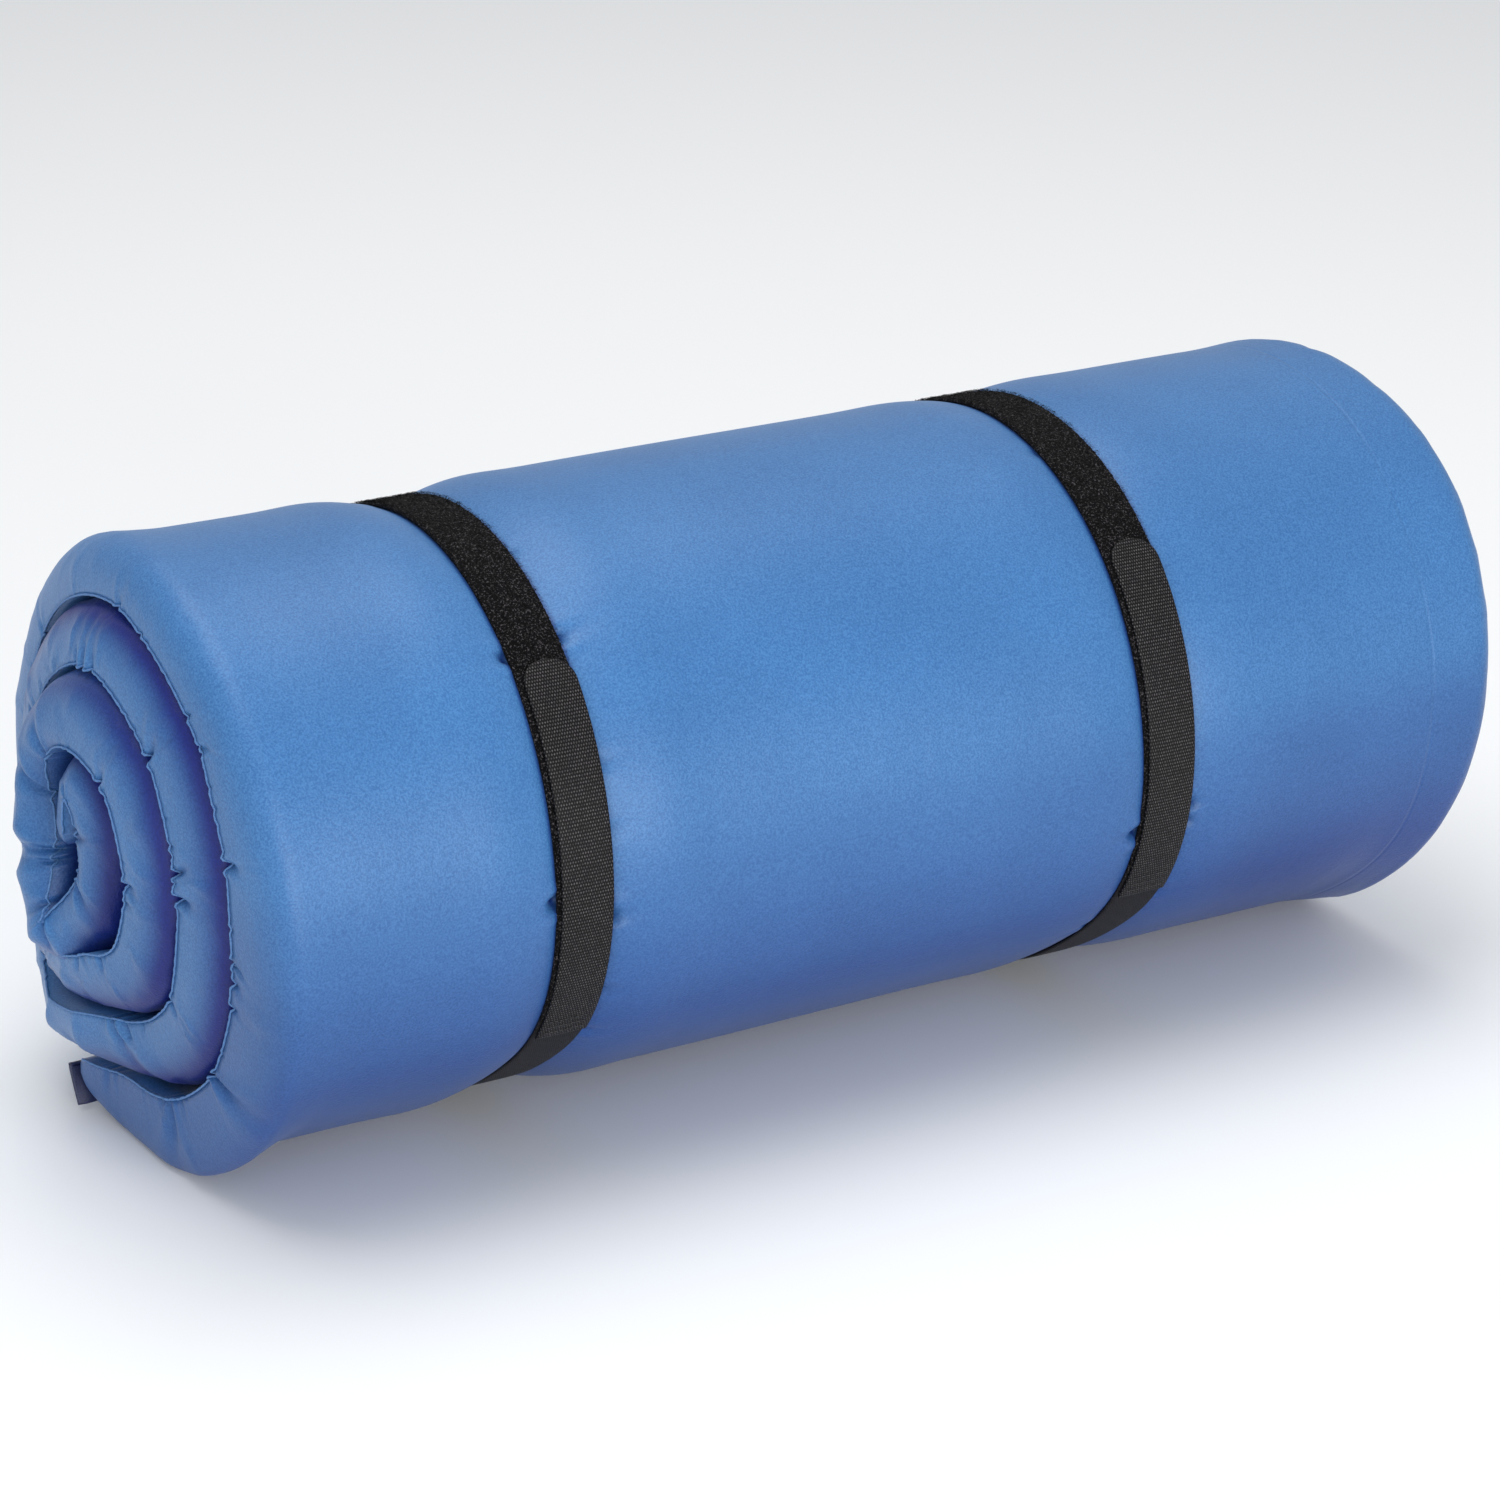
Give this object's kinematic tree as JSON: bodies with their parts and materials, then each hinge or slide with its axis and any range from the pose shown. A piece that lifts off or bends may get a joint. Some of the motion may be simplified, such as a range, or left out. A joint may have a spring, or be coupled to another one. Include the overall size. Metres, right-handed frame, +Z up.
{
  "type": "foam sleeping pad",
  "caption": "Rolled foam sleeping pad in a sewn fabric cover, wound into a cylinder and held by hook-and-loop straps with peel-open tabs.",
  "frame": {"origin": "on the ground under the middle of the roll's bounding box, where the roll rests", "axes": "+X runs along the roll from the spiral end that stands out to the end that is recessed, -Y is the front where the strap tabs are, +Z is up"},
  "size_m": [0.6352, 0.2802, 0.2727],
  "materials": {
    "cover_fabric": "brushed polyester, satin",
    "foam": "open-cell polyurethane foam, matt",
    "seam_binding": "folded seam tape",
    "webbing": "plain woven nylon webbing",
    "loop_pile": "napped loop pile",
    "hook_tape": "ribbed nylon back of hook tape",
    "thread": "bonded polyester thread",
    "label_fabric": "woven satin, blank"
  },
  "bodies": {
    "roll": {"foam_core": "foam", "cover_outer_panel": "cover_fabric", "cover_inner_panel": "cover_fabric", "cover_left_side_wall": "cover_fabric", "cover_right_side_wall": "cover_fabric", "cover_outer_end_wall": "cover_fabric", "cover_inner_end_wall": "cover_fabric", "left_side_seam": "seam_binding", "right_side_seam": "seam_binding", "care_label": "label_fabric", "left_strap_webbing": "webbing", "left_loop_strip": "loop_pile", "left_hook_base": "hook_tape", "left_hook_stitching": "thread", "left_anchor_stitching": "thread", "right_strap_webbing": "webbing", "right_loop_strip": "loop_pile", "right_hook_base": "hook_tape", "right_hook_stitching": "thread", "right_anchor_stitching": "thread"},
    "left_tab": {"left_hook_tab": "hook_tape"},
    "right_tab": {"right_hook_tab": "hook_tape"}
  },
  "joints": [
    {"name": "left_tab_peel", "type": "hinge", "parent": "roll", "child": "left_tab", "pos_m": [-0.1543, -0.12748, 0.07945], "axis": [1, 0, 0], "range_deg": [0, 90]},
    {"name": "right_tab_peel", "type": "hinge", "parent": "roll", "child": "right_tab", "pos_m": [0.132, -0.13126, 0.08853], "axis": [1, 0, 0], "range_deg": [0, 90]}
  ]
}
